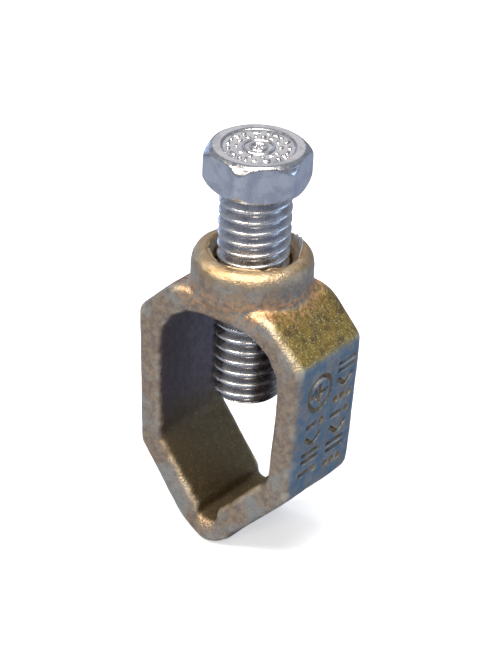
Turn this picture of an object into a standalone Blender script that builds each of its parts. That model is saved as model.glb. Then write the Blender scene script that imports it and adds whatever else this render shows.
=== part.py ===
"""Ground rod clamp: a one-piece cast bronze loop with a tapped boss, and the hex bolt that screws down through it.

The loop stands upright with its nose down. X runs across the loop, Y runs through its opening (the
ground rod lies along Y), and Z runs up the bolt. The origin is on the bolt's axis, level with the
underside of the nose. Every length is in metres.
"""

import math

import bmesh
import bpy
from mathutils import Matrix

MM = 0.001

# Bolt: 3/8-16 UNC thread, cut up to the head
THREAD_DIAMETER = 9.525 * MM
THREAD_PITCH = 1.5875 * MM
THREAD_DEPTH = 0.97 * MM
THREAD_CREST = 0.22 * MM
THREAD_ROOT = 0.28 * MM
BOLT_LENGTH = 29.7 * MM
BOLT_END_HEIGHT = 20.9 * MM
BOLT_END_CHAMFER = 0.61 * MM
HEAD_ACROSS_FLATS = 12.7 * MM
HEAD_HEIGHT = 6.0 * MM
HEAD_FLAT_RADIUS = 5.95 * MM
HEAD_DOME_START = math.radians(30)
HEAD_DOME_DROP = 2.1 * MM
HEAD_SEAT_RADIUS = 5.0 * MM
HEAD_SEAT_RISE = 2.6 * MM
HEAD_RECESS_RADIUS = 4.9 * MM
HEAD_RECESS_DEPTH = 0.25 * MM
HEAD_TURN = math.radians(15.5)
HEAD_UNDERSIDE = BOLT_END_HEIGHT + BOLT_LENGTH

# Fit of the bolt in its plain-bored hole
THREAD_CLEARANCE = 0.3 * MM

# Cast loop, outside
BODY_DEPTH = 14.2 * MM
SHOULDER_HALF_WIDTH = 13.3 * MM
SHOULDER_HEIGHT = 31.15 * MM
FOOT_HALF_WIDTH = 12.15 * MM
LEFT_FOOT_HEIGHT = 11.2 * MM
RIGHT_FOOT_HEIGHT = 11.3 * MM
TOP_HEIGHT = 36.8 * MM
SHOULDER_ANGLE = math.radians(45)
SHOULDER_RADIUS = 1.6 * MM
FOOT_RADIUS = 2.2 * MM
KEEL_RADIUS = 5.5 * MM
TOP_RADIUS = 5.0 * MM
ARRIS_RADIUS = 1.2 * MM

# Nose under the loop, and the wire groove above it
NOSE_RADIUS = 4.4 * MM
NOSE_OFFSET = -0.6 * MM
LEFT_LEG_ANGLE = math.radians(51.5)
RIGHT_LEG_ANGLE = math.radians(45.5)
GROOVE_WIDTH = 3.0 * MM
GROOVE_FLOOR = 3.6 * MM
GROOVE_CORNER = 0.7 * MM
GROOVE_ARRIS = 0.6 * MM

# Opening through the loop
SIDE_WALL = 3.6 * MM
LEG_WALL = 3.95 * MM
ROOF_HEIGHT = 33.5 * MM
ROOF_CORNER_RADIUS = 6.6 * MM
LOWER_CORNER_RADIUS = 2.0 * MM
OPENING_ARRIS = 1.0 * MM
OPENING_BACK_ARRIS = 0.4 * MM

# Round boss on top
BOSS_RADIUS = 8.05 * MM
BOSS_HEIGHT = 4.95 * MM
BOSS_TOP = TOP_HEIGHT + BOSS_HEIGHT
BOSS_EDGE_RADIUS = 1.75 * MM
SKIRT_HEIGHT = 2.6 * MM
SKIRT_INSET = 0.3 * MM
MOUTH_RADIUS = 6.15 * MM
MOUTH_DEPTH = 1.2 * MM

# Facets
ARC_STEPS = 4
ROUND_STEPS = 40
THREAD_STEPS = 20
OVERSHOOT = 2.0 * MM


def clear_scene():
    for thing in list(bpy.data.objects):
        bpy.data.objects.remove(thing)


def finish_material(name, colour, roughness, metallic):
    material = bpy.data.materials.new(name)
    material.use_nodes = True
    shader = material.node_tree.nodes["Principled BSDF"]
    shader.inputs["Base Color"].default_value = (*colour, 1)
    shader.inputs["Roughness"].default_value = roughness
    shader.inputs["Metallic"].default_value = metallic
    return material


def add_object(name, bm):
    mesh = bpy.data.meshes.new(name)
    bmesh.ops.recalc_face_normals(bm, faces=bm.faces)
    bm.to_mesh(mesh)
    bm.free()
    mesh.shade_smooth()
    mesh.set_sharp_from_angle(angle=math.radians(35))
    thing = bpy.data.objects.new(name, mesh)
    bpy.context.scene.collection.objects.link(thing)
    return thing


def add_cutter(name, bm):
    cutter = add_object(name, bm)
    cutter.hide_render = True
    cutter.display_type = "WIRE"
    return cutter


def boolean(thing, other, operation):
    modifier = thing.modifiers.new(f"{operation.lower()} {other.name}", "BOOLEAN")
    modifier.operation = operation
    modifier.object = other
    modifier.solver = "EXACT"


def rounded_outline(corners, grow=0.0):
    """Points round a convex outline, anticlockwise. Each corner is (x, z, radius); grow pushes the sides out."""
    points = []
    for index, (x, z, radius) in enumerate(corners):
        before = corners[index - 1]
        after = corners[(index + 1) % len(corners)]
        arriving = math.atan2(z - before[1], x - before[0])
        leaving = math.atan2(after[1] - z, after[0] - x)
        turn = (leaving - arriving) % (2 * math.pi)
        back = radius * math.tan(turn / 2)
        centre_x = x - back * math.cos(arriving) - radius * math.sin(arriving)
        centre_z = z - back * math.sin(arriving) + radius * math.cos(arriving)
        for step in range(ARC_STEPS + 1):
            facing = arriving - math.pi / 2 + turn * step / ARC_STEPS
            across = centre_x + (radius + grow) * math.cos(facing)
            up = centre_z + (radius + grow) * math.sin(facing)
            points.append((across, up))
    return points


def lofted(sections):
    """A closed bmesh through the sections, each (y, outline), from front to back."""
    bm = bmesh.new()
    rings = []
    for y, outline in sections:
        rings.append([bm.verts.new((x, y, z)) for x, z in outline])
    for near, far in zip(rings, rings[1:]):
        for index in range(len(near)):
            bm.faces.new((near[index - 1], near[index], far[index], far[index - 1]))
    bm.faces.new(rings[0])
    bm.faces.new(rings[-1])
    bmesh.ops.remove_doubles(bm, verts=bm.verts, dist=1e-7)
    return bm


def arris_profile(half_depth, arris, flare):
    """(depth, grow) points of one rounded arris, from a face inwards. A cutter's flares outwards instead."""
    profile = [(half_depth + OVERSHOOT, arris)] if flare else []
    for step in range(ARC_STEPS + 1):
        angle = math.pi / 2 * step / ARC_STEPS
        depth = arris * (1 - math.cos(angle))
        inset = arris * (1 - math.sin(angle))
        profile.append((half_depth - depth, inset if flare else -inset))
    return profile


def prism(corners, half_depth, arris, back_arris=None, flare=False):
    """The outline through the casting's depth, with its front and back arrises rounded or flared."""
    front = arris_profile(half_depth, arris, flare)
    back = arris_profile(half_depth, back_arris or arris, flare)
    sections = [(-y, rounded_outline(corners, grow)) for y, grow in front]
    sections += [(y, rounded_outline(corners, grow)) for y, grow in reversed(back)]
    return lofted(sections)


def turned(profile, steps=ROUND_STEPS):
    """A solid of revolution about Z from (radius, z) points, bottom to top, both ends on the axis."""
    bm = bmesh.new()
    points = [bm.verts.new((radius, 0, z)) for radius, z in profile]
    edges = [bm.edges.new(pair) for pair in zip(points, points[1:])]
    bmesh.ops.spin(
        bm,
        geom=points + edges,
        axis=(0, 0, 1),
        cent=(0, 0, 0),
        angle=2 * math.pi,
        steps=steps,
        use_merge=True,
    )
    bmesh.ops.remove_doubles(bm, verts=bm.verts, dist=1e-6)
    return bm


def crossing(start, angle, other, other_angle):
    """Where the line through start at angle meets the line through other at other_angle."""
    across = other[0] - start[0]
    up = other[1] - start[1]
    spread = math.sin(other_angle - angle)
    along = (across * math.sin(other_angle) - up * math.cos(other_angle)) / spread
    return start[0] + along * math.cos(angle), start[1] + along * math.sin(angle)


def outer_corners():
    """The loop's outline without its nose: lowest point, right side, top and left side, anticlockwise."""
    left_foot = (-FOOT_HALF_WIDTH, LEFT_FOOT_HEIGHT)
    right_foot = (FOOT_HALF_WIDTH, RIGHT_FOOT_HEIGHT)
    lowest = crossing(left_foot, -LEFT_LEG_ANGLE, right_foot, RIGHT_LEG_ANGLE)
    rise = TOP_HEIGHT - SHOULDER_HEIGHT
    top_half_width = SHOULDER_HALF_WIDTH - rise / math.tan(SHOULDER_ANGLE)
    return [
        (*lowest, KEEL_RADIUS),
        (*right_foot, FOOT_RADIUS),
        (SHOULDER_HALF_WIDTH, SHOULDER_HEIGHT, SHOULDER_RADIUS),
        (top_half_width, TOP_HEIGHT, TOP_RADIUS),
        (-top_half_width, TOP_HEIGHT, TOP_RADIUS),
        (-SHOULDER_HALF_WIDTH, SHOULDER_HEIGHT, SHOULDER_RADIUS),
        (*left_foot, FOOT_RADIUS),
    ]


def inner_line(corner, after, wall):
    """A point and the angle of the line that lies a wall's thickness inside an outer side."""
    angle = math.atan2(after[1] - corner[1], after[0] - corner[0])
    return (corner[0] - wall * math.sin(angle), corner[1] + wall * math.cos(angle)), angle


def opening_corners():
    """The opening's outline: each wall lies its own thickness inside the loop's outside."""
    keel, right_foot, right_shoulder, _, _, left_shoulder, left_foot = outer_corners()
    right_leg = inner_line(keel, right_foot, LEG_WALL)
    right_side = inner_line(right_foot, right_shoulder, SIDE_WALL)
    roof = ((0.0, ROOF_HEIGHT), math.pi)
    left_side = inner_line(left_shoulder, left_foot, SIDE_WALL)
    left_leg = inner_line(left_foot, keel, LEG_WALL)
    return [
        (*crossing(*left_leg, *right_leg), GROOVE_CORNER),
        (*crossing(*right_leg, *right_side), LOWER_CORNER_RADIUS),
        (*crossing(*right_side, *roof), ROOF_CORNER_RADIUS),
        (*crossing(*roof, *left_side), ROOF_CORNER_RADIUS),
        (*crossing(*left_side, *left_leg), LOWER_CORNER_RADIUS),
    ]


def groove_corners():
    """A square slot for the wire, open at its top, which stays inside the loop's opening."""
    left = NOSE_OFFSET - GROOVE_WIDTH / 2
    right = NOSE_OFFSET + GROOVE_WIDTH / 2
    top = GROOVE_FLOOR + GROOVE_WIDTH
    return [
        (left, GROOVE_FLOOR, GROOVE_CORNER),
        (right, GROOVE_FLOOR, GROOVE_CORNER),
        (right, top, GROOVE_CORNER),
        (left, top, GROOVE_CORNER),
    ]


def nose_corners():
    """A circle, as a square whose corners are fully rounded."""
    left = NOSE_OFFSET - NOSE_RADIUS
    right = NOSE_OFFSET + NOSE_RADIUS
    top = 2 * NOSE_RADIUS
    corners = [(left, 0), (right, 0), (right, top), (left, top)]
    return [(x, z, NOSE_RADIUS) for x, z in corners]


def boss_profile():
    """Solid boss with a rounded rim, flaring from a skirt that grows out of the loop's faces."""
    skirt_bottom = TOP_HEIGHT - SKIRT_HEIGHT
    profile = [
        (0, skirt_bottom),
        (BODY_DEPTH / 2 - SKIRT_INSET, skirt_bottom),
        (BOSS_RADIUS, TOP_HEIGHT),
    ]
    for step in range(ARC_STEPS + 1):
        angle = math.pi / 2 * step / ARC_STEPS
        radius = BOSS_RADIUS - BOSS_EDGE_RADIUS * (1 - math.cos(angle))
        height = BOSS_TOP - BOSS_EDGE_RADIUS * (1 - math.sin(angle))
        profile.append((radius, height))
    return profile + [(0, BOSS_TOP)]


def bore_profile():
    """Plain hole for the bolt, from inside the opening up through the boss, with a countersunk mouth."""
    radius = THREAD_DIAMETER / 2 + THREAD_CLEARANCE
    flare = (MOUTH_RADIUS - radius) / MOUTH_DEPTH
    return [
        (0, ROOF_HEIGHT - OVERSHOOT),
        (radius, ROOF_HEIGHT - OVERSHOOT),
        (radius, BOSS_TOP - MOUTH_DEPTH),
        (MOUTH_RADIUS + flare * OVERSHOOT, BOSS_TOP + OVERSHOOT),
        (0, BOSS_TOP + OVERSHOOT),
    ]


def make_clamp_body():
    half_depth = BODY_DEPTH / 2
    body = add_object("clamp_body", prism(outer_corners(), half_depth, ARRIS_RADIUS))
    nose = add_cutter("nose", prism(nose_corners(), half_depth, ARRIS_RADIUS))
    boss = add_cutter("boss", turned(boss_profile()))
    loop_cut = prism(opening_corners(), half_depth, OPENING_ARRIS, OPENING_BACK_ARRIS, flare=True)
    opening = add_cutter("opening", loop_cut)
    groove = add_cutter("groove", prism(groove_corners(), half_depth, GROOVE_ARRIS, flare=True))
    bore = add_cutter("bore", turned(bore_profile()))
    for piece in (nose, boss):
        boolean(body, piece, "UNION")
    for piece in (opening, groove, bore):
        boolean(body, piece, "DIFFERENCE")
    body.data.materials.append(finish_material("cast_bronze", (0.36, 0.29, 0.19), 0.45, 0.85))
    return body


def thread_rod(bottom, top):
    """A rod with a helical thread, its surface spun one pitch up per turn, then cut square at both ends."""
    major = THREAD_DIAMETER / 2
    minor = major - THREAD_DEPTH
    flank = (THREAD_PITCH - THREAD_CREST - THREAD_ROOT) / 2
    heights = [0, flank, flank + THREAD_CREST, 2 * flank + THREAD_CREST, THREAD_PITCH]
    radii = [minor, major, major, minor, minor]
    turns = math.ceil((top - bottom) / THREAD_PITCH) + 2
    start = bottom - 1.5 * THREAD_PITCH
    bm = bmesh.new()
    points = [bm.verts.new((radius, 0, start + height)) for radius, height in zip(radii, heights)]
    edges = [bm.edges.new(pair) for pair in zip(points, points[1:])]
    bmesh.ops.spin(
        bm,
        geom=points + edges,
        axis=(0, 0, 1),
        cent=(0, 0, 0),
        dvec=(0, 0, THREAD_PITCH / THREAD_STEPS),
        angle=2 * math.pi * turns,
        steps=THREAD_STEPS * turns,
    )
    bmesh.ops.remove_doubles(bm, verts=bm.verts, dist=1e-6)
    for height, side in ((bottom, -1), (top, 1)):
        bmesh.ops.bisect_plane(
            bm,
            geom=bm.verts[:] + bm.edges[:] + bm.faces[:],
            dist=1e-7,
            plane_co=(0, 0, height),
            plane_no=(0, 0, side),
            clear_outer=True,
        )
        rim = [edge for edge in bm.edges if edge.is_boundary and abs(edge.verts[0].co.z - height) < 1e-6]
        bmesh.ops.contextual_create(bm, geom=rim)
    return bm


def shank_envelope():
    """What the threaded rod is trimmed to: a little over its full diameter, with a chamfered end."""
    major = THREAD_DIAMETER / 2
    top = HEAD_UNDERSIDE + HEAD_HEIGHT / 2
    return [
        (0, BOLT_END_HEIGHT),
        (major - BOLT_END_CHAMFER, BOLT_END_HEIGHT),
        (major + OVERSHOOT, BOLT_END_HEIGHT + BOLT_END_CHAMFER + OVERSHOOT),
        (major + OVERSHOOT, top),
        (0, top),
    ]


def barrel_edge(inner, outer, depth):
    """(radius, drop) points of a domed edge: it leaves the flat at HEAD_DOME_START and ends upright at outer."""
    points = []
    for step in range(ARC_STEPS + 1):
        angle = HEAD_DOME_START + (math.pi / 2 - HEAD_DOME_START) * step / ARC_STEPS
        outwards = (math.sin(angle) - math.sin(HEAD_DOME_START)) / (1 - math.sin(HEAD_DOME_START))
        down = 1 - math.cos(angle) / math.cos(HEAD_DOME_START)
        points.append((inner + (outer - inner) * outwards, depth * down))
    return points


def head_envelope():
    """The hexagon is trimmed to this turned barrel: domed top and bottom edges, and a shallow dish in the crown."""
    crown = HEAD_UNDERSIDE + HEAD_HEIGHT
    corner = HEAD_ACROSS_FLATS / math.sqrt(3)
    seat = barrel_edge(HEAD_SEAT_RADIUS, corner, HEAD_SEAT_RISE)
    dome = barrel_edge(HEAD_FLAT_RADIUS, corner, HEAD_DOME_DROP)
    profile = [(0, HEAD_UNDERSIDE)]
    profile += [(radius, HEAD_UNDERSIDE + rise) for radius, rise in seat]
    profile += [(radius, crown - drop) for radius, drop in reversed(dome)]
    profile += [
        (HEAD_RECESS_RADIUS, crown),
        (HEAD_RECESS_RADIUS - HEAD_RECESS_DEPTH, crown - HEAD_RECESS_DEPTH),
        (0, crown - HEAD_RECESS_DEPTH),
    ]
    return profile


def hexagon():
    """The head's six flats, taller than the head at both ends."""
    bm = bmesh.new()
    corner = HEAD_ACROSS_FLATS / math.sqrt(3)
    bmesh.ops.create_cone(
        bm,
        cap_ends=True,
        segments=6,
        radius1=corner,
        radius2=corner,
        depth=HEAD_HEIGHT + 2 * OVERSHOOT,
    )
    bmesh.ops.rotate(bm, verts=bm.verts, matrix=Matrix.Rotation(HEAD_TURN, 3, "Z"))
    bmesh.ops.translate(bm, verts=bm.verts, vec=(0, 0, HEAD_UNDERSIDE + HEAD_HEIGHT / 2))
    return bm


def make_hex_bolt():
    rod = thread_rod(BOLT_END_HEIGHT - OVERSHOOT / 2, HEAD_UNDERSIDE + HEAD_HEIGHT * 2 / 3)
    bolt = add_object("hex_bolt", rod)
    trim = add_cutter("shank_trim", turned(shank_envelope()))
    head = add_cutter("head", turned(head_envelope()))
    flats = add_cutter("head_flats", hexagon())
    boolean(head, flats, "INTERSECT")
    boolean(bolt, trim, "INTERSECT")
    boolean(bolt, head, "UNION")
    bolt.data.materials.append(finish_material("plated_steel", (0.62, 0.62, 0.64), 0.28, 1.0))
    return bolt


clear_scene()
make_clamp_body()
make_hex_bolt()
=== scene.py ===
# %% [markdown]
# # A bronze ground clamp with a plated steel bolt
#
# The clamp is a sand-cast bronze loop with one hexagon-head bolt screwed down through
# its boss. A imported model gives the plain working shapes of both. This lesson keeps
# their places and sizes, and gives each of them the surface of the real thing: soft
# cast edges, sand grain and tarnish on the bronze, and rolled threads on the steel.

# %% Load the frame
import math

import bmesh
import bpy
import numpy as np
from mathutils import Matrix, Vector, noise


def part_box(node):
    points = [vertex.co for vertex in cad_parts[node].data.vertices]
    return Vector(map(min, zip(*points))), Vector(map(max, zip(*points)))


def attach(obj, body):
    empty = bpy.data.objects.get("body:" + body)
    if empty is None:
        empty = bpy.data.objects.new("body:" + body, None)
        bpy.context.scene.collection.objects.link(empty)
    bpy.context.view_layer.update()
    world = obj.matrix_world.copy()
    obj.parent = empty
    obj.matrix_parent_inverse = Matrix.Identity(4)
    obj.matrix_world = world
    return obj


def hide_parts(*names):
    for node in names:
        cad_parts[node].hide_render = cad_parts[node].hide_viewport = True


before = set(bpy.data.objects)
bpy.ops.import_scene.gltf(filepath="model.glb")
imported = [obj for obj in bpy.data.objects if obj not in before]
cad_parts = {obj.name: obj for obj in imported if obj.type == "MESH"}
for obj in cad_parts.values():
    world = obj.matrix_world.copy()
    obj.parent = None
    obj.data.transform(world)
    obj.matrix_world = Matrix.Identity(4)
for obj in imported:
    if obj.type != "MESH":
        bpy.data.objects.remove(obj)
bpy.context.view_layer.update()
MM = 0.001
body_low, body_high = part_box("clamp_body")
bolt_low, bolt_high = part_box("hex_bolt")
print("body box, mm:", [round(value / MM, 2) for value in (*body_low, *body_high)])
print("bolt box, mm:", [round(value / MM, 2) for value in (*bolt_low, *bolt_high)])

# %% [markdown]
# ## The camera
#
# A long lens from well back keeps the sides nearly parallel, so that sizes read true.
# The camera looks down at the clamp from its right-hand front corner, and its
# horizon is tipped a few degrees. The camera's three axes are worked out from those
# angles and set as the columns of its matrix.

# %% Camera
CAMERA_AZIMUTH = math.radians(35.4)
CAMERA_ELEVATION = math.radians(29.73)
CAMERA_ROLL = math.radians(2.91)
CAMERA_DISTANCE = 512.0 * MM
CAMERA_LENS = 212.2
camera_target = Vector((0.0, 0.15 * MM, body_high.z - 12.75 * MM))


def camera_axes(azimuth, elevation, roll):
    """The camera's right, up and backward directions."""
    level = Vector((math.cos(azimuth), math.sin(azimuth), 0.0))
    back = Vector(
        (
            math.sin(azimuth) * math.cos(elevation),
            -math.cos(azimuth) * math.cos(elevation),
            math.sin(elevation),
        )
    )
    upright = back.cross(level)
    right = math.cos(roll) * level + math.sin(roll) * upright
    return right, back.cross(right), back


def add_camera():
    right, up, back = camera_axes(CAMERA_AZIMUTH, CAMERA_ELEVATION, CAMERA_ROLL)
    camera = bpy.data.objects.new("camera", bpy.data.cameras.new("camera"))
    camera.data.lens = CAMERA_LENS
    camera.data.clip_start = 0.01
    camera.data.clip_end = 10.0
    place = Matrix((right, up, back)).transposed().to_4x4()
    place.translation = camera_target + CAMERA_DISTANCE * back
    camera.matrix_world = place
    bpy.context.scene.collection.objects.link(camera)
    bpy.context.scene.camera = camera
    return camera


camera = add_camera()
print("camera at, mm:", [round(value / MM) for value in camera.matrix_world.translation])

# %% [markdown]
# ## Tools for materials
#
# A node material is a small flow chart. These helpers keep the charts short to write:
# `feed` sets a socket or links one to it, and the others add one common node each and
# return its output. Lengths inside the charts are millimetres, because `millimetres`
# multiplies the Object coordinates by a thousand first.

# %% Node helpers
def feed(tree, socket, value):
    """Links a node's output to a socket, or sets the socket to a plain value."""
    if isinstance(value, bpy.types.NodeSocket):
        tree.links.new(value, socket)
    else:
        socket.default_value = value


def add_node(tree, kind, inputs=(), **settings):
    """A new node with its settings made and its inputs fed."""
    made = tree.nodes.new(kind)
    for name, value in settings.items():
        setattr(made, name, value)
    for socket, value in dict(inputs).items():
        feed(tree, made.inputs[socket], value)
    return made


def calculate(tree, operation, first, second=0.0):
    made = add_node(tree, "ShaderNodeMath", {0: first, 1: second}, operation=operation)
    return made.outputs[0]


def between(tree, value, low, high, bottom=0.0, top=1.0):
    """A soft step from bottom to top as a value goes from low to high."""
    made = add_node(
        tree,
        "ShaderNodeMapRange",
        {0: value, 1: low, 2: high, 3: bottom, 4: top},
        interpolation_type="SMOOTHSTEP",
    )
    return made.outputs[0]


def blend_colour(tree, factor, first, second, blend="MIX"):
    """The mix of two colours, which are sockets or (r, g, b)."""
    made = add_node(tree, "ShaderNodeMix", data_type="RGBA", blend_type=blend)
    feed(tree, made.inputs[0], factor)
    for socket, colour in ((made.inputs[6], first), (made.inputs[7], second)):
        plain = isinstance(colour, tuple)
        feed(tree, socket, (*colour, 1.0) if plain else colour)
    return made.outputs[2]


def noise_of(tree, place, size, detail=3.0):
    """Noise from 0 to 1 whose features are about as large as the given size."""
    made = add_node(
        tree,
        "ShaderNodeTexNoise",
        {"Vector": place, "Scale": 1 / size, "Detail": detail},
    )
    return made.outputs["Fac"]


def attribute(tree, name):
    return add_node(tree, "ShaderNodeAttribute", attribute_name=name).outputs["Fac"]


def millimetres(tree):
    """The point on the piece, in millimetres."""
    coordinates = add_node(tree, "ShaderNodeTexCoord").outputs["Object"]
    made = add_node(
        tree, "ShaderNodeMapping", {"Vector": coordinates, "Scale": (1000, 1000, 1000)}
    )
    return made.outputs["Vector"]


def new_material(name, **plain):
    """A material, its node tree and its Principled shader with its plain values set."""
    material = bpy.data.materials.new(name)
    material.use_nodes = True
    shader = material.node_tree.nodes["Principled BSDF"]
    for socket, value in plain.items():
        shader.inputs[socket.replace("_", " ")].default_value = value
    return material, material.node_tree, shader


# %% [markdown]
# ## Floor and light
#
# Bare metal shows little but what it reflects, so the lamps are sheets of light. A warm
# key stands above and in front, with a smaller warm one near the camera, and a neutral
# one hangs overhead. Two bluish ones, low at the sides, draw the cool edges of the
# metal, and one behind is what the bolt's crown mirrors. A white floor would burn the
# metal out from below, so the floor is pale where it is looked at, and a quiet
# blue-grey where the metal mirrors it.

# %% Floor and lights
LIGHTS = {
    "key": ((-130, -300, 400), 150, 1.7, (1.0, 0.90, 0.74)),
    "overhead": ((80, -60, 480), 220, 1.5, (1.0, 0.95, 0.88)),
    "back_panel": ((-260, 360, 280), 300, 0.17, (1.0, 0.96, 0.95)),
    "right_rim": ((420, 260, 90), 260, 0.5, (0.45, 0.65, 1.0)),
    "front": ((230, -350, 340), 110, 0.55, (1.0, 0.86, 0.68)),
    "left_rim": ((-380, 160, 60), 160, 0.12, (0.45, 0.62, 1.0)),
}
FLOOR_SIZE = 3.0
FLOOR_SEEN = (0.9, 0.9, 0.9)
FLOOR_MIRRORED = (0.27, 0.33, 0.46)
FLOOR_GLOW = 0.55


def floor_material():
    material, tree, shader = new_material("pale_floor", Roughness=0.7)
    seen = add_node(tree, "ShaderNodeLightPath").outputs["Is Camera Ray"]
    colour = blend_colour(tree, seen, FLOOR_MIRRORED, FLOOR_SEEN)
    glow = blend_colour(tree, seen, (0.0, 0.0, 0.0), FLOOR_SEEN)
    feed(tree, shader.inputs["Base Color"], colour)
    feed(tree, shader.inputs["Emission Color"], glow)
    shader.inputs["Emission Strength"].default_value = FLOOR_GLOW
    return material


def add_floor():
    mesh = bpy.data.meshes.new("floor")
    bm = bmesh.new()
    bmesh.ops.create_grid(bm, x_segments=1, y_segments=1, size=FLOOR_SIZE / 2)
    bm.to_mesh(mesh)
    bm.free()
    mesh.materials.append(floor_material())
    floor = bpy.data.objects.new("floor", mesh)
    bpy.context.scene.collection.objects.link(floor)


def add_light(name, place, size, power, colour):
    lamp = bpy.data.lights.new(name, "AREA")
    lamp.size = size * MM
    lamp.energy = power
    lamp.color = colour
    light = bpy.data.objects.new(name, lamp)
    light.location = Vector(place) * MM
    aim = light.location - camera_target
    light.rotation_euler = aim.to_track_quat("Z", "Y").to_euler()
    bpy.context.scene.collection.objects.link(light)


def add_world(colour, strength):
    world = bpy.data.worlds.new("studio")
    world.use_nodes = True
    background = world.node_tree.nodes["Background"]
    background.inputs["Color"].default_value = (*colour, 1.0)
    background.inputs["Strength"].default_value = strength
    bpy.context.scene.world = world


add_floor()
for name, (place, size, power, colour) in LIGHTS.items():
    add_light(name, place, size, power, colour)
add_world((0.74, 0.83, 1.0), 0.35)
bpy.context.scene.view_settings.view_transform = "Standard"
print("lights:", ", ".join(LIGHTS))

# %% [markdown]
# ## Two small tools
#
# Most shapes here are made in two steps: a mesh built or copied in a bmesh, then one
# or two modifiers that turn it into the finished surface. `settle` makes the
# modifiers' result the object's own mesh, so that vertices can be moved afterwards.

# %% Mesh helpers
MERGE_DISTANCE = 1e-6


def new_object(name, bm):
    """A new object from a bmesh, which is freed."""
    mesh = bpy.data.meshes.new(name)
    bm.to_mesh(mesh)
    bm.free()
    made = bpy.data.objects.new(name, mesh)
    bpy.context.scene.collection.objects.link(made)
    return made


def settle(obj):
    """Makes the result of an object's modifiers its own mesh."""
    graph = bpy.context.evaluated_depsgraph_get()
    old = obj.data
    new = bpy.data.meshes.new_from_object(obj.evaluated_get(graph))
    obj.modifiers.clear()
    obj.data = new
    bpy.data.meshes.remove(old)
    new.name = obj.name


def combine(obj, other, operation, solver="MANIFOLD"):
    """Cuts, joins or intersects an object with another one, which is used up."""
    boolean = obj.modifiers.new(operation.lower(), "BOOLEAN")
    boolean.operation = operation
    boolean.solver = solver
    boolean.object = other
    settle(obj)
    bpy.data.objects.remove(other)


def copied_bmesh(node):
    """The triangles of a CAD node, merged into one surface."""
    bm = bmesh.new()
    bm.from_mesh(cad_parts[node].data)
    bmesh.ops.remove_doubles(bm, verts=bm.verts, dist=MERGE_DISTANCE)
    return bm


def soften(obj, voxel, rounds):
    """Remeshes an object into even small faces and smooths its edges round."""
    remesh = obj.modifiers.new("even_faces", "REMESH")
    remesh.mode = "VOXEL"
    remesh.voxel_size = voxel
    smooth = obj.modifiers.new("soft_edges", "SMOOTH")
    smooth.factor = 0.5
    smooth.iterations = rounds
    settle(obj)


def count_faces(obj):
    triangles = sum(len(face.vertices) - 2 for face in obj.data.polygons)
    print(obj.name, "has", triangles, "triangles")


# %% [markdown]
# ## The cast body
#
# Sand casting leaves no crisp corner: the sand rounds every edge, and the molten metal
# draws a fillet into every inner one. A voxel remesh covers the plain model in even
# quarter-millimetre faces, and smoothing those gives both kinds of round at once.

# %% Soft casting
CAST_VOXEL = 0.25 * MM
CAST_ROUNDS = 14

KNOB_PLACE = Vector((-0.6, -6.2, 1.95)) * MM
KNOB_RADII = Vector((2.5, 1.45, 1.75)) * MM


def nose_knob():
    """The small round swelling on the front of the nose, where metal fed the mould."""
    bm = bmesh.new()
    bmesh.ops.create_uvsphere(bm, u_segments=32, v_segments=16, radius=1.0)
    bmesh.ops.scale(bm, verts=bm.verts, vec=KNOB_RADII)
    bmesh.ops.translate(bm, verts=bm.verts, vec=KNOB_PLACE)
    return new_object("nose_knob", bm)


casting = new_object("cast_body", copied_bmesh("clamp_body"))
combine(casting, nose_knob(), "UNION")
soften(casting, CAST_VOXEL, CAST_ROUNDS)
count_faces(casting)

# %% [markdown]
# Real sand never packs evenly, so the flat faces of a casting wave a little, and its
# edges wander. Three sizes of noise push the vertices in and out along their normals.

# %% Uneven surface
LUMPS = ((7.0 * MM, 0.10 * MM), (2.6 * MM, 0.05 * MM), (1.1 * MM, 0.03 * MM))


def mesh_array(mesh, name, attribute="co"):
    values = np.empty(len(mesh.vertices) * 3, np.float32)
    getattr(mesh, name).foreach_get(attribute, values)
    return values.reshape(-1, 3)


def push_lumps(obj, lumps):
    """Moves each vertex along its normal by noise of the given sizes and heights."""
    places = mesh_array(obj.data, "vertices").astype(float)
    heights = [
        sum(depth * noise.noise(Vector(place) / size) for size, depth in lumps)
        for place in places
    ]
    places += np.array(heights)[:, None] * mesh_array(obj.data, "vertices", "normal")
    obj.data.vertices.foreach_set("co", places.astype(np.float32).ravel())
    obj.data.update()


push_lumps(casting, LUMPS)
print("lumps up to", sum(depth for _, depth in LUMPS) / MM, "mm high")

# %% [markdown]
# ## Marks in the side
#
# Foundries put raised marks on the pattern, and they come out sunken or raised in the
# casting. Here they are plain bars, dots and chevrons beside a ringed earth symbol,
# cut a little into the side. Strokes that cross go into two separate cutters, so that
# neither cutter runs through itself.

# %% Sunken marks
MARK_DEPTH = 0.48 * MM
MARK_STROKE = 0.70 * MM
MARK_LENGTH = 3.8 * MM
MARK_PITCH = 2.39 * MM
MARK_LEAN = 0.087
BACK_COLUMN = (3.75 * MM, 28.1 * MM)
FRONT_COLUMN = (-2.3 * MM, 21.5 * MM)
RING_PLACE = (-1.9 * MM, 26.0 * MM)
RING_RADIUS = 2.8 * MM
SIDE_TOP = 30.4 * MM
SIDE_LEAN = 0.0579


def side_x(z):
    """How far out the flat right-hand side is at a height."""
    return body_high.x - (SIDE_TOP - z) * SIDE_LEAN


def lay_on_side(bm, verts, y, z, turn=0.0):
    """Moves a shape drawn flat about the origin on to the side."""
    place = Matrix.Translation((side_x(z), y, z))
    turned_by = Matrix.Rotation(turn, 4, "X")
    laid_over = Matrix.Rotation(math.radians(90), 4, "Y")
    bmesh.ops.transform(bm, matrix=place @ turned_by @ laid_over, verts=verts)


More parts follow.
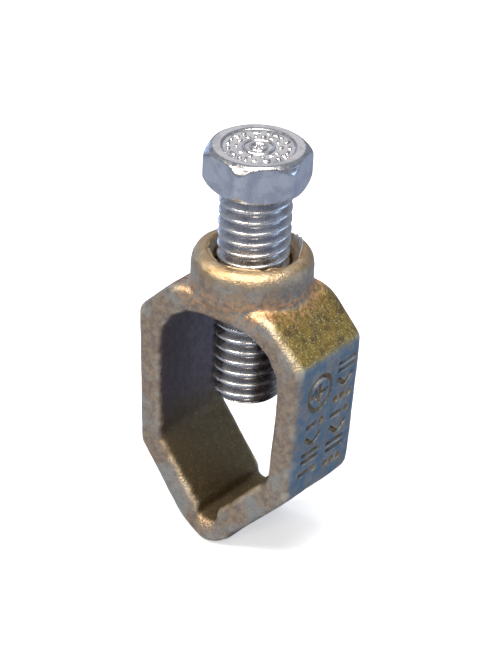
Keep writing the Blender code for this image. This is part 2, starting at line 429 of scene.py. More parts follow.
def cut_bar(bm, y, z, length, turn=0.0):
    """A bar along Y, before it is turned."""
    made = bmesh.ops.create_cube(bm, size=1.0)["verts"]
    bmesh.ops.scale(bm, verts=made, vec=(MARK_STROKE, length, 2 * MARK_DEPTH))
    lay_on_side(bm, made, y, z, turn)


def cut_dot(bm, y, z, radius=0.5 * MM):
    made = bmesh.ops.create_cone(
        bm, cap_ends=True, segments=18, radius1=radius, radius2=radius, depth=2 * MARK_DEPTH
    )["verts"]
    lay_on_side(bm, made, y, z)


def cut_ring(bm, y, z, radius):
    """A square section spun full circle."""
    before = set(bm.verts)
    inner = radius - MARK_STROKE
    section = ((inner, 1), (radius, 1), (radius, -1), (inner, -1))
    corners = [bm.verts.new((across, 0.0, up * MARK_DEPTH)) for across, up in section]
    sides = [bm.edges.new(pair) for pair in zip(corners, corners[1:] + corners[:1])]
    bmesh.ops.spin(
        bm,
        geom=corners + sides,
        cent=(0.0, 0.0, 0.0),
        axis=(0.0, 0.0, 1.0),
        angle=math.tau,
        steps=48,
        use_merge=True,
    )
    lay_on_side(bm, [vertex for vertex in bm.verts if vertex not in before], y, z)


def chevron(first, second, y, z):
    arm = 0.56 * MARK_LENGTH
    for bm, side in ((first, 1), (second, -1)):
        cut_bar(bm, y + side * 0.21 * MARK_LENGTH, z, arm, side * math.radians(38))


def twin_bars(first, second, y, z):
    for side in (1, -1):
        cut_bar(first, y, z + side * 0.23 * MARK_PITCH, MARK_LENGTH)


def three_dots(first, second, y, z):
    for step in (-1, 0, 1):
        cut_dot(first, y + step * 0.36 * MARK_LENGTH, z)


def bar_and_dot(first, second, y, z):
    cut_bar(first, y - 0.2 * MARK_LENGTH, z, 0.6 * MARK_LENGTH)
    cut_dot(first, y + 0.36 * MARK_LENGTH, z)


def earth_symbol(first, second, y, z):
    """A stem and three shrinking bars, inside a ring."""
    cut_ring(first, y, z, RING_RADIUS)
    cut_bar(second, y + 0.75 * MM, z, 1.9 * MM)
    for step, length in enumerate((2.9, 1.9, 0.9)):
        cut_bar(first, y - (0.1 + 0.78 * step) * MM, z, length * MM, math.radians(90))


def cut_marks(obj):
    first, second = bmesh.new(), bmesh.new()
    earth_symbol(first, second, *RING_PLACE)
    back_marks = (twin_bars, chevron, three_dots, bar_and_dot, chevron, twin_bars, three_dots)
    front_marks = (bar_and_dot, chevron, twin_bars, bar_and_dot)
    for (y, z), marks in ((BACK_COLUMN, back_marks), (FRONT_COLUMN, front_marks)):
        for step, mark in enumerate(marks):
            drop = step * MARK_PITCH
            mark(first, second, y - drop * MARK_LEAN, z - drop)
    for bm in (first, second):
        bmesh.ops.recalc_face_normals(bm, faces=bm.faces)
        combine(obj, new_object("mark_cutter", bm), "DIFFERENCE")


cut_marks(casting)
count_faces(casting)

# %% [markdown]
# ## The torn mouth of the hole
#
# The tap that cut the thread tore a thin lip of bronze up round the mouth. Each scrap
# of it is a narrow strip spun part of the way round the hole, thinned and lowered
# towards its ends, and roughened with noise.

# %% Torn lips
LIPS = (
    (196, 62, 6.0, 0.30, 0.55, -0.75),
    (20, 56, 6.0, 1.30, 0.36, 0.18),
    (262, 88, 5.95, 0.28, 0.50, -0.55),
)
LIP_STEPS = 28


def torn_lip(start, sweep, radius, height, width, lean):
    """A strip round the hole. Its angles are degrees, its lengths millimetres."""
    bm = bmesh.new()
    inner, outer = (radius - width / 2) * MM, (radius + width / 2) * MM
    foot = body_high.z - 0.8 * MM
    section = ((inner, foot), (outer, foot), (outer, body_high.z), (inner, body_high.z))
    corners = [bm.verts.new((across, 0.0, up)) for across, up in section]
    sides = [bm.edges.new(pair) for pair in zip(corners, corners[1:] + corners[:1])]
    bmesh.ops.spin(
        bm,
        geom=corners + sides,
        cent=(0.0, 0.0, 0.0),
        axis=(0.0, 0.0, 1.0),
        angle=math.radians(sweep),
        steps=LIP_STEPS,
    )
    bmesh.ops.holes_fill(bm, edges=[edge for edge in bm.edges if edge.is_boundary], sides=0)
    for vertex in bm.verts:
        across = math.hypot(vertex.co.x, vertex.co.y)
        share = math.atan2(vertex.co.y, vertex.co.x) % math.tau / math.radians(sweep)
        swell = math.sin(math.pi * min(max(share, 0.0), 1.0)) ** 0.6
        ragged = 1 + 0.9 * noise.noise(Vector((share * 7, start, 0.0)))
        narrow = (across - radius * MM) * (0.25 + 0.75 * swell)
        above = vertex.co.z > body_high.z - 0.1 * MM
        tip = height * MM * swell * ragged if above else 0.0
        new_across = radius * MM + narrow * (0.45 if above else 1.0) + lean * tip
        vertex.co *= new_across / across
        vertex.co.z = (body_high.z - 0.25 * MM + tip) if above else foot
    turn = Matrix.Rotation(math.radians(start), 3, "Z")
    bmesh.ops.rotate(bm, cent=(0.0, 0.0, 0.0), matrix=turn, verts=bm.verts)
    bmesh.ops.recalc_face_normals(bm, faces=bm.faces)
    return new_object("torn_lip", bm)


for lip in LIPS:
    combine(casting, torn_lip(*lip), "UNION")
count_faces(casting)

# %% [markdown]
# ## The bolt
#
# The bolt is a rolled-thread screw. One tooth of the thread is drawn as a short line
# of points and spun up the shank in a helix, a pitch for every turn.

# %% Rolled thread
THREAD_DIAMETER = 9.525 * MM
THREAD_PITCH = 1.5875 * MM
THREAD_DEPTH = 0.97 * MM
CREST_SHARE = 0.14
ROOT_SHARE = 0.20
TOOTH_POINTS = 14
TURN_STEPS = 72
HEAD_HEIGHT = 6.0 * MM
TIP_CHAMFER = 0.61 * MM
head_bottom = bolt_high.z - HEAD_HEIGHT


def tooth_radius(share):
    """The thread's radius at a share of its pitch, from one root over the crest."""
    slope = (1 - abs(2 * share - 1) - ROOT_SHARE) / (1 - ROOT_SHARE - CREST_SHARE)
    slope = min(max(slope, 0.0), 1.0)
    rounded = slope * slope * (3 - 2 * slope)
    return THREAD_DIAMETER / 2 - THREAD_DEPTH * (1 - 0.5 * (slope + rounded))


def threaded_rod(name, bottom, top):
    """A closed threaded rod that spans two heights."""
    turns = math.ceil((top - bottom) / THREAD_PITCH) + 2
    bm = bmesh.new()
    line = []
    for index in range(TOOTH_POINTS + 1):
        share = index / TOOTH_POINTS
        height = bottom + (share - 1.5) * THREAD_PITCH
        line.append(bm.verts.new((tooth_radius(share), 0.0, height)))
    for lower, upper in zip(line, line[1:]):
        bm.edges.new((lower, upper))
    bmesh.ops.spin(
        bm,
        geom=bm.verts[:] + bm.edges[:],
        cent=(0.0, 0.0, 0.0),
        axis=(0.0, 0.0, 1.0),
        dvec=(0.0, 0.0, THREAD_PITCH / TURN_STEPS),
        angle=math.tau,
        steps=TURN_STEPS,
        use_duplicate=False,
    )
    first_turn = bm.verts[:] + bm.edges[:] + bm.faces[:]
    for turn in range(1, turns):
        copy = bmesh.ops.duplicate(bm, geom=first_turn)["geom"]
        moved = [part for part in copy if isinstance(part, bmesh.types.BMVert)]
        bmesh.ops.translate(bm, verts=moved, vec=(0.0, 0.0, turn * THREAD_PITCH))
    bmesh.ops.remove_doubles(bm, verts=bm.verts, dist=MERGE_DISTANCE)
    for height, above in ((bottom, False), (top, True)):
        bmesh.ops.bisect_plane(
            bm,
            geom=bm.verts[:] + bm.edges[:] + bm.faces[:],
            plane_co=(0.0, 0.0, height),
            plane_no=(0.0, 0.0, 1.0),
            clear_outer=above,
            clear_inner=not above,
        )
    rim = [edge for edge in bm.edges if edge.is_boundary]
    bmesh.ops.holes_fill(bm, edges=rim, sides=0)
    bmesh.ops.recalc_face_normals(bm, faces=bm.faces)
    return new_object(name, bm)


def turned(name, profile, steps=96):
    """A closed solid turned from points given as radius and height."""
    bm = bmesh.new()
    line = [bm.verts.new((radius, 0.0, height)) for radius, height in profile]
    for first, second in zip(line, line[1:]):
        bm.edges.new((first, second))
    bmesh.ops.spin(
        bm,
        geom=bm.verts[:] + bm.edges[:],
        cent=(0.0, 0.0, 0.0),
        axis=(0.0, 0.0, 1.0),
        angle=math.tau,
        steps=steps,
        use_merge=True,
    )
    bmesh.ops.remove_doubles(bm, verts=bm.verts, dist=MERGE_DISTANCE)
    bmesh.ops.recalc_face_normals(bm, faces=bm.faces)
    return new_object(name, bm)


bolt = threaded_rod("plated_bolt", bolt_low.z, head_bottom + 0.6 * MM)
reach = THREAD_DIAMETER / 2 + 0.3 * MM
point = turned(
    "point_trim",
    (
        (0.0, bolt_low.z - MM),
        (THREAD_DIAMETER / 2 - TIP_CHAMFER - MM, bolt_low.z - MM),
        (reach, bolt_low.z + TIP_CHAMFER + 0.3 * MM),
        (reach, bolt_high.z),
        (0.0, bolt_high.z),
    ),
)
combine(bolt, point, "INTERSECT")
count_faces(bolt)

# %% [markdown]
# The head is forged, so its edges are as soft as the casting's. The plain model's
# head is cut free of its shank, remeshed finer than the casting, and joined on.

# %% Forged head
HEAD_VOXEL = 0.12 * MM
HEAD_ROUNDS = 14
HEAD_ACROSS_FLATS = 12.7 * MM
HEAD_TURN = math.radians(15.5)
HEAD_EDGE_RADIUS = 0.7 * MM


def rounded_hexagon():
    """A hexagonal bar with rounded corners, which trims the head."""
    bm = bmesh.new()
    corner = HEAD_ACROSS_FLATS / math.sqrt(3)
    bmesh.ops.create_cone(
        bm, cap_ends=True, segments=6, radius1=corner, radius2=corner, depth=2 * HEAD_HEIGHT
    )
    upright = [edge for edge in bm.edges if edge.verts[0].co.xy == edge.verts[1].co.xy]
    bmesh.ops.bevel(
        bm,
        geom=upright,
        offset=HEAD_EDGE_RADIUS,
        offset_type="OFFSET",
        affect="EDGES",
        segments=6,
        profile=0.5,
        material=-1,
    )
    turn = Matrix.Rotation(HEAD_TURN, 3, "Z")
    bmesh.ops.rotate(bm, cent=(0.0, 0.0, 0.0), matrix=turn, verts=bm.verts)
    middle = (bolt_high.z + head_bottom) / 2
    bmesh.ops.translate(bm, verts=bm.verts, vec=(0.0, 0.0, middle))
    return new_object("rounded_hexagon", bm)


def forged_head():
    bm = copied_bmesh("hex_bolt")
    bmesh.ops.bisect_plane(
        bm,
        geom=bm.verts[:] + bm.edges[:] + bm.faces[:],
        plane_co=(0.0, 0.0, head_bottom + 0.02 * MM),
        plane_no=(0.0, 0.0, 1.0),
        clear_inner=True,
    )
    rim = [edge for edge in bm.edges if edge.is_boundary]
    bmesh.ops.holes_fill(bm, edges=rim, sides=0)
    bmesh.ops.recalc_face_normals(bm, faces=bm.faces)
    head = new_object("head", bm)
    combine(head, rounded_hexagon(), "INTERSECT")
    soften(head, HEAD_VOXEL, HEAD_ROUNDS)
    return head


combine(bolt, forged_head(), "UNION")
count_faces(bolt)

# %% [markdown]
# The punch that forms the head leaves its marks standing in the shallow dish of the
# crown. A ring, a smaller ring inside it and a scatter of dashes and pips stand for them.

# %% Marks on the crown
CROWN_FLOOR = bolt_high.z - 0.25 * MM
RELIEF = 0.13 * MM
RELIEF_RING = 2.15 * MM
INNER_RING = 1.2 * MM
OUTER_MARKS = 19
OUTER_MARKS_RADIUS = 3.95 * MM
INNER_MARKS = 13
INNER_MARKS_RADIUS = 2.85 * MM
PIPS = 5
PIPS_RADIUS = 0.45 * MM


def stand_block(bm, radius, bearing, length, width, turn, height=RELIEF):
    """A small block standing on the crown's floor, round its middle."""
    made = bmesh.ops.create_cube(bm, size=1.0)["verts"]
    bmesh.ops.scale(bm, verts=made, vec=(length, width, 2 * height))
    spun = Matrix.Rotation(bearing + turn, 4, "Z")
    place = Vector((radius * math.cos(bearing), radius * math.sin(bearing), CROWN_FLOOR))
    bmesh.ops.transform(bm, matrix=Matrix.Translation(place) @ spun, verts=made)


def crown_ring(bm, radius, width):
    """A square-edged ring standing on the crown's floor."""
    inner = radius - width
    section = ((inner, -1), (radius, -1), (radius, 1), (inner, 1))
    corners = [bm.verts.new((across, 0.0, CROWN_FLOOR + up * RELIEF)) for across, up in section]
    sides = [bm.edges.new(pair) for pair in zip(corners, corners[1:] + corners[:1])]
    bmesh.ops.spin(
        bm,
        geom=corners + sides,
        cent=(0.0, 0.0, 0.0),
        axis=(0.0, 0.0, 1.0),
        angle=math.tau,
        steps=64,
        use_merge=True,
    )


def crown_marks():
    bm = bmesh.new()
    crown_ring(bm, RELIEF_RING, 0.32 * MM)
    crown_ring(bm, INNER_RING, 0.30 * MM)
    for step in range(OUTER_MARKS):
        bearing = math.tau * (step + 0.25 * math.sin(5 * step)) / OUTER_MARKS
        length = (0.75 + 0.3 * math.sin(3 * step)) * MM
        turn = math.radians(90 if step % 3 else 20)
        stand_block(bm, OUTER_MARKS_RADIUS, bearing, length, 0.34 * MM, turn)
    for step in range(INNER_MARKS):
        bearing = math.tau * (step + 0.4 * math.sin(7 * step)) / INNER_MARKS
        turn = math.radians(35 * step)
        stand_block(bm, INNER_MARKS_RADIUS, bearing, 0.6 * MM, 0.3 * MM, turn)
    for step in range(PIPS):
        bearing = math.tau * (step + 0.3) / PIPS
        stand_block(bm, PIPS_RADIUS, bearing, 0.22 * MM, 0.22 * MM, 0.0)
    bmesh.ops.recalc_face_normals(bm, faces=bm.faces)
    return new_object("crown_marks", bm)


combine(bolt, crown_marks(), "UNION")
count_faces(bolt)

# %% [markdown]
# ## Where the surface changes
#
# Tarnish, wear and painted light follow the shape: raised edges are rubbed bright, the
# roots of the thread are darker, the inner walls are painted dark as shade, the blue-grey
# sides and the gold right shoulder are partly tarnish and partly a painted reflection,
# and the left shoulder is a painted shade. Those places are worked out from the finished
# mesh and kept as attributes, which the materials then read. Averaging each value with
# its neighbours', many times over, blurs it; a point that stands out from its blurred
# self is on a raised edge.

# %% Surface masks
def spread(mesh, values, rounds):
    """Values at the vertices, averaged with their neighbours' a number of times."""
    ends = np.empty(len(mesh.edges) * 2, np.int32)
    mesh.edges.foreach_get("vertices", ends)
    ends = ends.reshape(-1, 2)
    both = np.concatenate([ends, ends[:, ::-1]])
    count = len(mesh.vertices)
    degree = np.bincount(both[:, 0], minlength=count)
    for _ in range(rounds):
        sums = [
            np.bincount(both[:, 0], weights=column[both[:, 1]], minlength=count)
            for column in values.T
        ]
        values = (values + np.stack(sums, axis=1)) / (degree + 1)[:, None]
    return values


def soft_step(values, low, high):
    share = np.clip((values - low) / (high - low), 0.0, 1.0)
    return share * share * (3 - 2 * share)


def keep_mask(mesh, name, values, rounds=4):
    """Keeps a value for each vertex as an attribute, a little blurred."""
    blurred = spread(mesh, np.asarray(values, float)[:, None], rounds)
    mask = mesh.attributes.new(name, "FLOAT", "POINT")
    mask.data.foreach_set("value", blurred[:, 0].astype(np.float32))


def raised(mesh, rounds, height):
    """How far each vertex stands out from (+) or lies below (-) its blurred place."""
    places = mesh_array(mesh, "vertices").astype(float)
    normals = mesh_array(mesh, "vertices", "normal")
    offset = places - spread(mesh, places, rounds)
    return (offset * normals).sum(axis=1) / height


# %% [markdown]
# ## Effects that both metals share
#
# Three small charts are used more than once, so each is a node group. `Patches` marks
# out soft-edged areas, for tarnish and grime. `Sand grain` is the skin that the mould
# leaves, with a mask of the few grains that get a painted glint, a painted highlight.
# `Edge wear` takes a mask of raised edges and breaks it up, because nothing rubs evenly.

# %% Node groups
def new_group(name, inputs, outputs):
    """An empty node group, with its inputs given as name: value."""
    group = bpy.data.node_groups.new(name, "ShaderNodeTree")
    for label, value in inputs.items():
        kind = "NodeSocketVector" if value is None else "NodeSocketFloat"
        socket = group.interface.new_socket(label, in_out="INPUT", socket_type=kind)
        if value is not None:
            socket.default_value = value
    for label in outputs:
        group.interface.new_socket(label, in_out="OUTPUT", socket_type="NodeSocketFloat")
    start = group.nodes.new("NodeGroupInput")
    end = group.nodes.new("NodeGroupOutput")
    return group, start.outputs, end.inputs


def use_group(tree, group, **values):
    """Places a node group and feeds its inputs. Returns its outputs."""
    made = add_node(tree, "ShaderNodeGroup", node_tree=group)
    for name, value in values.items():
        feed(tree, made.inputs[name], value)
    return made.outputs


def patches_group():
    group, given, result = new_group(
        "Patches", {"Place": None, "Size": 3.0, "Low": 0.45, "High": 0.6}, ("Mask",)
    )
    scale = calculate(group, "DIVIDE", 1.0, given["Size"])
    field = add_node(
        group,
        "ShaderNodeTexNoise",
        {"Vector": given["Place"], "Scale": scale, "Detail": 5.0, "Roughness": 0.6},
    ).outputs["Fac"]
    feed(group, result["Mask"], between(group, field, given["Low"], given["High"]))
    return group


def grain_group():
    group, given, result = new_group(
        "Sand grain", {"Place": None, "Size": 0.3, "Rare": 0.8}, ("Height", "Glint")
    )
    scale = calculate(group, "DIVIDE", 1.0, given["Size"])
    field = add_node(
        group,
        "ShaderNodeTexNoise",
        {"Vector": given["Place"], "Scale": scale, "Detail": 4.0, "Roughness": 0.62},
    ).outputs["Fac"]
    cells = add_node(
        group, "ShaderNodeTexVoronoi", {"Vector": given["Place"], "Scale": scale}
    ).outputs
    bumps = calculate(group, "MULTIPLY_ADD", cells["Distance"], -0.45)
    feed(group, bumps.node.inputs[2], field)
    # The glint mask picks the grains that are given a painted highlight.
    shade = add_node(group, "ShaderNodeSeparateColor", {"Color": cells["Color"]})
    picked = calculate(group, "GREATER_THAN", shade.outputs["Red"], given["Rare"])
    core = between(group, cells["Distance"], 0.2, 0.5, bottom=1.0, top=0.0)
    feed(group, result["Height"], bumps)
    feed(group, result["Glint"], calculate(group, "MULTIPLY", picked, core))
    return group


def wear_group():
    group, given, result = new_group(
        "Edge wear", {"Place": None, "Edge": 0.0, "Low": 0.3, "High": 0.8}, ("Mask",)
    )
    field = noise_of(group, given["Place"], 1.3, detail=6.0)
    uneven = calculate(group, "MULTIPLY_ADD", field, 1.1)
    feed(group, uneven.node.inputs[2], calculate(group, "SUBTRACT", given["Edge"], 0.55))
    feed(group, result["Mask"], between(group, uneven, given["Low"], given["High"]))
    return group


PATCHES = patches_group()
GRAIN = grain_group()
WEAR = wear_group()
print("node groups:", PATCHES.name, GRAIN.name, WEAR.name)

# %% [markdown]
# ## Where the bronze changes
#
# The casting is one metal with many skins: tan and mauve on its faces, a blue-grey on
# its sides that is partly tarnish and partly a painted reflection of blue light, olive
# gold on the rubbed right shoulder that is partly a painted warm reflection, a darker
# olive on the left shoulder that is a painted shade, a painted shade nearly black
# inside the loop, and copper at the foot of the boss.

# %% Bronze masks
FLAT_SIDE = (0.80, 0.96)
SHOULDER = (0.84, 0.95)
OPENING_CENTRE = Vector((0.0, 0.0, 20.0 * MM))

# Where each mask fades from nothing to full, in millimetres
BELOW_BOSS = (37.5, 36.0)
FOOT_REACH = (10.6, 8.4)
FOOT_BOTTOM = (33.6, 35.4)
FOOT_TOP = (38.8, 37.2)
TORN_ABOVE = (41.85, 42.0)
TORN_WITHIN = (5.75, 5.5)
MOUTH_RISE = (40.8, 41.1)
SUNK_DEPTH = (0.12, 0.3)
MARKED_HALF_DEPTH = 5.6
MARKED_BOTTOM = 12.5
MARKED_TOP = 30.2
RIGHT_HALF = 11.0


def facing(normals, direction, low, high):
    aim = np.array(Vector(direction).normalized())
    return soft_step(normals @ aim, low, high)


def mask_bronze(obj):
    mesh = obj.data
    places = mesh_array(mesh, "vertices").astype(float)
    normals = spread(mesh, mesh_array(mesh, "vertices", "normal").astype(float), 8)
    normals /= np.linalg.norm(normals, axis=1)[:, None]
    height = places[:, 2] / MM
    inwards = (np.array(OPENING_CENTRE) - places) * (1, 0, 1)
    inwards /= np.linalg.norm(inwards, axis=1)[:, None]
    inner = soft_step((normals * inwards).sum(axis=1), 0.15, 0.5)
    inner *= soft_step(np.abs(normals[:, 1]), 0.75, 0.5)
    stand = raised(mesh, 14, 0.12 * MM)
    right = facing(normals, (1, 0, 0), *FLAT_SIDE)
    left = facing(normals, (-1, 0, 0), *FLAT_SIDE)
    below_side = (side_x(places[:, 2]) - places[:, 0]) / MM
    marked = np.abs(places[:, 1]) < MARKED_HALF_DEPTH * MM
    marked &= (height > MARKED_BOTTOM) & (height < MARKED_TOP)
    marked &= places[:, 0] > RIGHT_HALF * MM
    loop = soft_step(height, *BELOW_BOSS)
    right_shoulder = facing(normals, (1, 0, 1), *SHOULDER)
    left_shoulder = facing(normals, (-1, 0, 1), *SHOULDER)
    outside = loop * (1 - inner)
    across = np.hypot(places[:, 0], places[:, 1]) / MM
    torn = np.maximum(soft_step(height, *TORN_ABOVE), soft_step(across, *TORN_WITHIN))
    foot = soft_step(across, *FOOT_REACH) * soft_step(height, *FOOT_BOTTOM)
    foot *= soft_step(height, *FOOT_TOP)
    sides = np.maximum(right, left) * (1 - inner)
    keep_mask(mesh, "inner_wall", inner, 10)
    keep_mask(mesh, "raised_edge", soft_step(stand, 0.15, 1.3))
    keep_mask(mesh, "side_face", sides * (0.4 + 0.6 * loop), 8)
    keep_mask(mesh, "shoulder", right_shoulder * outside, 6)
    keep_mask(mesh, "shaded_shoulder", left_shoulder * outside, 6)
    keep_mask(mesh, "boss_foot", foot * (1 - inner), 6)
    keep_mask(mesh, "torn", torn * soft_step(height, *MOUTH_RISE), 1)
    keep_mask(mesh, "sunk", soft_step(below_side, *SUNK_DEPTH) * marked, 1)


mask_bronze(casting)
print("bronze masks:", [mask.name for mask in casting.data.attributes if mask.domain == "POINT"])

# %% [markdown]
# The bronze material lays its skins on in order, each through its own mask: the
# mottled face first, then the boss, the sides with their partly painted blue reflection,
# the shoulders with their painted warm reflection and painted shade, the inside in
# painted shade, the foot of the boss and the sunken marks. Painted glints, which stand
# for highlights, and rubbed edges go over all of them, and torn metal goes on last.

# %% Bronze
TAN = (0.60, 0.44, 0.28)
MAUVE = (0.36, 0.255, 0.20)
PALE = (0.56, 0.54, 0.46)
# Partly tarnish and partly a painted reflection of blue light
BLUE_TARNISH_AND_REFLECTION = (0.175, 0.255, 0.31)
# Partly rubbed gold, partly a painted warm reflection
OLIVE_GOLD_AND_WARM_REFLECTION = (0.43, 0.275, 0.07)
# Painted shade for the left shoulder
SHADED_OLIVE = (0.20, 0.165, 0.115)
OLIVE_BROWN = (0.22, 0.145, 0.07)
# Colour of the painted glints and the painted highlight veins
GOLD_GLINT = (1.0, 0.84, 0.36)
# Painted shade inside the loop: near black above, dark olive below
INSIDE_SHADE_BLACK = (0.165, 0.135, 0.14)
INSIDE_SHADE_OLIVE = (0.17, 0.125, 0.065)
COPPER = (0.86, 0.48, 0.23)
SUNK_BROWN = (0.30, 0.19, 0.075)
BOSS_GOLD = (0.62, 0.42, 0.21)
WORN_BRONZE = (0.84, 0.70, 0.50)
WORN_GOLD = (1.0, 0.86, 0.36)
TORN_METAL = (0.56, 0.56, 0.55)

# Heights where a skin, the painted shade inside and the painted glints change, in
# millimetres: from none of it to all of it
BOSS_RISE = (39.0, 41.2)
INSIDE_SHADE_CHANGE = (21.0, 11.0)
GLINTS_FADE = (18.0, 8.0)


def scaled(tree, value, share):
    return calculate(tree, "MULTIPLY", value, share)


def height_of(tree, place):
    return add_node(tree, "ShaderNodeSeparateXYZ", {"Vector": place}).outputs["Z"]


def face_colour(tree, place):
    """Tan and mauve mottling, with paler clouds: the skin of the flat faces."""
    mottle = use_group(tree, PATCHES, Place=place, Size=1.0, Low=0.40, High=0.62)["Mask"]
    clouds = use_group(tree, PATCHES, Place=place, Size=4.2, Low=0.47, High=0.62)["Mask"]
    specks = use_group(tree, PATCHES, Place=place, Size=0.32, Low=0.50, High=0.66)["Mask"]
    colour = blend_colour(tree, scaled(tree, mottle, 0.75), TAN, MAUVE)
    colour = blend_colour(tree, scaled(tree, clouds, 0.7), colour, PALE)
    return blend_colour(tree, scaled(tree, specks, 0.35), colour, OLIVE_BROWN)


def shoulder_colour(tree, place):
    """Rubbed olive gold that is partly a painted warm reflection, with brown patches
    and fine bright veins that are painted highlights.
    """
    brown = use_group(tree, PATCHES, Place=place, Size=1.5, Low=0.46, High=0.64)["Mask"]
    colour = blend_colour(tree, scaled(tree, brown, 0.75), OLIVE_GOLD_AND_WARM_REFLECTION, OLIVE_BROWN)
    # Fine veins in the glint colour are painted highlights.
    field = noise_of(tree, place, 0.75, detail=4.0)
    middle = calculate(tree, "ABSOLUTE", calculate(tree, "SUBTRACT", field, 0.5))
    veins = between(tree, middle, 0.0, 0.022, 0.55, 0.0)
    return blend_colour(tree, veins, colour, GOLD_GLINT)


def bronze_colour(tree, place, grain, wear):
    """The casting's colour, laid on skin by skin."""
    rise = height_of(tree, place)
    shoulder = attribute(tree, "shoulder")
    colour = face_colour(tree, place)
    on_boss = between(tree, rise, *BOSS_RISE, 0.0, 0.7)
    colour = blend_colour(tree, on_boss, colour, BOSS_GOLD)
    # The sides turn blue-grey: partly tarnish, partly a painted reflection of blue light.
    side = attribute(tree, "side_face")
    blotches = between(tree, noise_of(tree, place, 1.8, detail=5.0), 0.32, 0.62, 0.5, 1.0)
    colour = blend_colour(tree, calculate(tree, "MULTIPLY", side, blotches), colour, BLUE_TARNISH_AND_REFLECTION)
    # Painted shade: the left shoulder is darkened to a dull olive.
    colour = blend_colour(tree, attribute(tree, "shaded_shoulder"), colour, SHADED_OLIVE)
    # The right shoulder's olive gold is partly rubbed metal and partly a painted warm reflection.
    colour = blend_colour(tree, shoulder, colour, shoulder_colour(tree, place))
    # Painted shade: the inner walls of the loop go nearly black high up and dark olive lower
    # down.
    inside = blend_colour(tree, between(tree, rise, *INSIDE_SHADE_CHANGE), INSIDE_SHADE_BLACK, INSIDE_SHADE_OLIVE)
    colour = blend_colour(tree, attribute(tree, "inner_wall"), colour, inside)
    foot_patches = between(tree, noise_of(tree, place, 0.6, detail=6.0), 0.44, 0.60)
    fillet = calculate(tree, "MULTIPLY", attribute(tree, "boss_foot"), foot_patches)
    colour = blend_colour(tree, scaled(tree, fillet, 0.9), colour, COPPER)
    colour = blend_colour(tree, attribute(tree, "sunk"), colour, SUNK_BROWN)
    # Painted glints: gold specks on chosen grains, on the shoulder, the copper fillet and faintly
    # low inside the loop.
    low = between(tree, rise, *GLINTS_FADE)
    low_inside = calculate(tree, "MULTIPLY", attribute(tree, "inner_wall"), low)
    bright = calculate(tree, "MAXIMUM", shoulder, fillet)
    bright = calculate(tree, "MAXIMUM", bright, scaled(tree, low_inside, 0.2))
    glints = calculate(tree, "MULTIPLY", scaled(tree, grain["Glint"], 0.8), bright)
    colour = blend_colour(tree, glints, colour, GOLD_GLINT)
    worn = blend_colour(tree, shoulder, WORN_BRONZE, WORN_GOLD)
    colour = blend_colour(tree, wear, colour, worn)
    return blend_colour(tree, attribute(tree, "torn"), colour, TORN_METAL)


def bronze_roughness(tree, place):
    """Smoother where it is rubbed, rougher inside the loop."""
    uneven = between(tree, noise_of(tree, place, 0.9), 0.3, 0.7, 0.33, 0.50)
    added = add_node(
        tree,
        "ShaderNodeMath",
        {0: attribute(tree, "inner_wall"), 1: 0.16, 2: uneven},
        operation="MULTIPLY_ADD",
    )
    return added.outputs[0]


def bronze_height(tree, place, grain):
    """Sand grain over softer waves, for the bump."""
    waves = noise_of(tree, place, 1.2, detail=2.0)
    added = add_node(
        tree, "ShaderNodeMath", {0: waves, 1: 1.2, 2: grain["Height"]}, operation="MULTIPLY_ADD"
    )
    return added.outputs[0]


def bronze_material():
    material, tree, shader = new_material("cast_bronze", Metallic=1.0)
    place = millimetres(tree)
    grain = use_group(tree, GRAIN, Place=place, Size=0.26, Rare=0.84)
    edge = attribute(tree, "raised_edge")
    wear = use_group(tree, WEAR, Place=place, Edge=edge, Low=0.25, High=0.9)["Mask"]
    colour = bronze_colour(tree, place, grain, scaled(tree, wear, 0.7))
    feed(tree, shader.inputs["Base Color"], colour)
    feed(tree, shader.inputs["Roughness"], bronze_roughness(tree, place))
    bump = add_node(tree, "ShaderNodeBump", {"Strength": 1.0, "Distance": 0.085 * MM})
    feed(tree, bump.inputs["Height"], bronze_height(tree, place, grain))
    feed(tree, shader.inputs["Normal"], bump.outputs["Normal"])
    return material


casting.data.materials.clear()
casting.data.materials.append(bronze_material())
print("bronze:", casting.data.materials[0].name)

# %% [markdown]
# ## Steel
#
# The plating is bright where the thread's crests rub, and darker down in the roots.
# The part of the shank inside the loop is painted darker than the part above the boss,
# a painted shade. The crown is dented and little rubbed.

# %% Steel
BRIGHT_STEEL = (0.68, 0.66, 0.65)
DULL_STEEL = (0.52, 0.51, 0.53)
# Darker colour in the roots of the thread
THREAD_ROOT_DARK = (0.17, 0.15, 0.15)
# Painted shade on the shank inside the loop
LOOP_SHADED_STEEL = (0.44, 0.41, 0.39)
WORN_STEEL = (0.85, 0.84, 0.82)

# Heights where the plating and its painted shade change, in millimetres: from none of it to all
# of it
LOOP_SHADE_RISE = (37.0, 33.0)
SHANK_TOP = (51.2, 50.4)
CROWN_WEAR = (55.9, 56.1)
CROWN_DENTS = (56.0, 56.15)


def mask_steel(obj):
    mesh = obj.data
    stand = raised(mesh, 6, 0.10 * MM)
    keep_mask(mesh, "raised_edge", soft_step(stand, 0.1, 1.0))
    keep_mask(mesh, "hollow", soft_step(-stand, 0.1, 1.0))


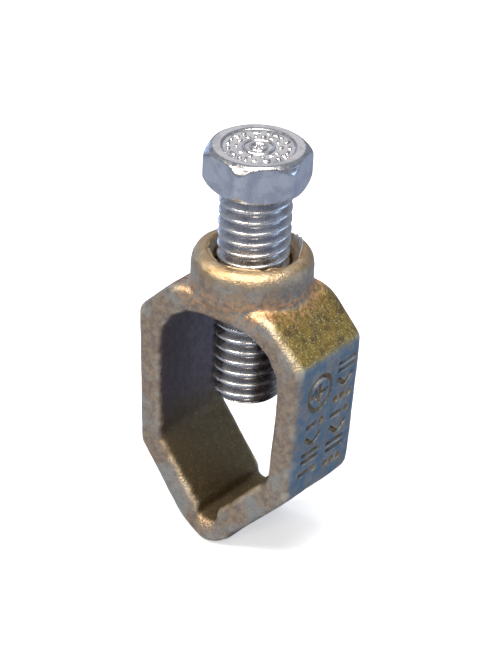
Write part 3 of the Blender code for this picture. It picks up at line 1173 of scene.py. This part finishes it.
def steel_material():
    material, tree, shader = new_material("plated_steel", Metallic=1.0)
    place = millimetres(tree)
    grain = use_group(tree, GRAIN, Place=place, Size=0.25, Rare=0.9)
    dull = use_group(tree, PATCHES, Place=place, Size=2.4, Low=0.42, High=0.62)["Mask"]
    colour = blend_colour(tree, dull, BRIGHT_STEEL, DULL_STEEL)
    rise = height_of(tree, place)
    # Painted shade: the shank below the boss, inside the loop, is darkened.
    loop_shade = between(tree, rise, *LOOP_SHADE_RISE, 0.0, 0.8)
    colour = blend_colour(tree, loop_shade, colour, LOOP_SHADED_STEEL)
    shank = between(tree, rise, *SHANK_TOP)
    # The roots of the thread are darkened along the shank below the head.
    root_dark = calculate(tree, "MULTIPLY", attribute(tree, "hollow"), shank)
    colour = blend_colour(tree, scaled(tree, root_dark, 0.85), colour, THREAD_ROOT_DARK)
    edge = attribute(tree, "raised_edge")
    wear = use_group(tree, WEAR, Place=place, Edge=edge, Low=0.2, High=0.7)["Mask"]
    share = between(tree, rise, *CROWN_WEAR, 0.7, 0.2)
    rubbed = calculate(tree, "MULTIPLY", wear, share)
    colour = blend_colour(tree, rubbed, colour, WORN_STEEL)
    feed(tree, shader.inputs["Base Color"], colour)
    rough = between(tree, noise_of(tree, place, 0.7), 0.3, 0.7, 0.20, 0.34)
    feed(tree, shader.inputs["Roughness"], rough)
    dished = scaled(tree, between(tree, rise, *CROWN_DENTS), 3.5)
    dents = calculate(tree, "MULTIPLY", noise_of(tree, place, 0.8, detail=4.0), dished)
    bump = add_node(tree, "ShaderNodeBump", {"Strength": 1.0, "Distance": 0.012 * MM})
    feed(tree, bump.inputs["Height"], calculate(tree, "ADD", grain["Height"], dents))
    feed(tree, shader.inputs["Normal"], bump.outputs["Normal"])
    return material


mask_steel(bolt)
bolt.data.materials.clear()
bolt.data.materials.append(steel_material())
print("steel:", bolt.data.materials[0].name)

# %% [markdown]
# ## Handing over
#
# Each finished piece rides on its own body, takes the place of that body's plain
# working shape, and names the material slot that it fills.

# %% Hand over
for piece, body, node, slot in (
    (casting, "clamp_body", "clamp_body", "cast_bronze"),
    (bolt, "hex_bolt", "hex_bolt", "plated_steel"),
):
    piece.data.shade_smooth()
    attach(piece, body)
    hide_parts(node)
    print(piece.name, "rides", body, "in slot", slot)
